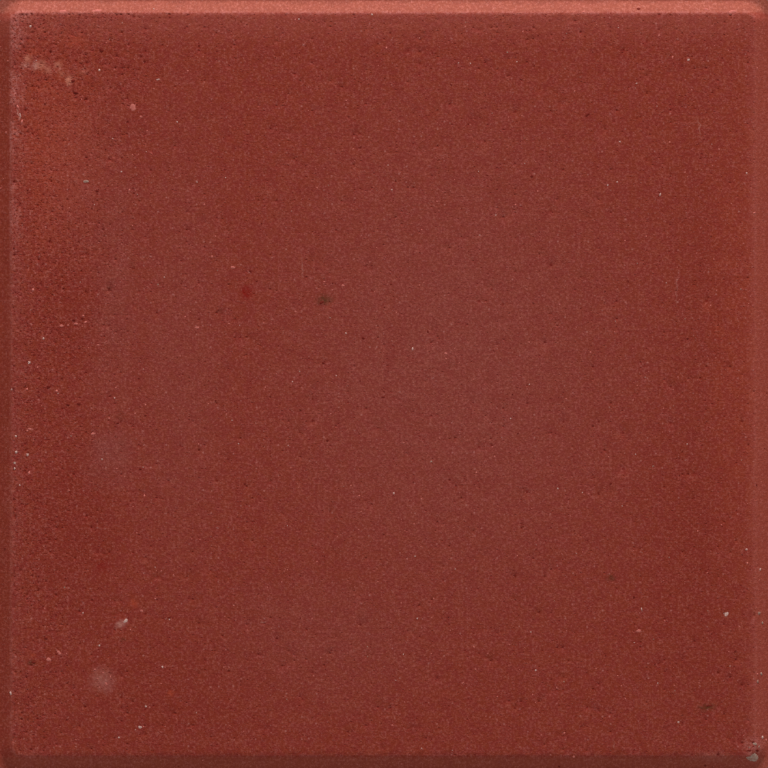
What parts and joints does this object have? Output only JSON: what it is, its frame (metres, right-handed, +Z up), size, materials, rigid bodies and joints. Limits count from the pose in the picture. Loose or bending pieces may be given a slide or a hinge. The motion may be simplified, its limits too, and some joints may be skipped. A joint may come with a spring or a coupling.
{
  "type": "concrete paving tile",
  "caption": "Square pressed concrete paving tile with a chamfered, round-cornered wearing face on a narrow ledge.",
  "frame": {"origin": "middle of the underside, on the bed that the tile lies on", "axes": "+Z up through the thickness, out of the wearing face; X and Y square to the sides"},
  "size_m": [0.298, 0.298, 0.045],
  "materials": {
    "red_concrete": "matte"
  },
  "bodies": {
    "root": {"paving_tile": "red_concrete"}
  },
  "joints": []
}
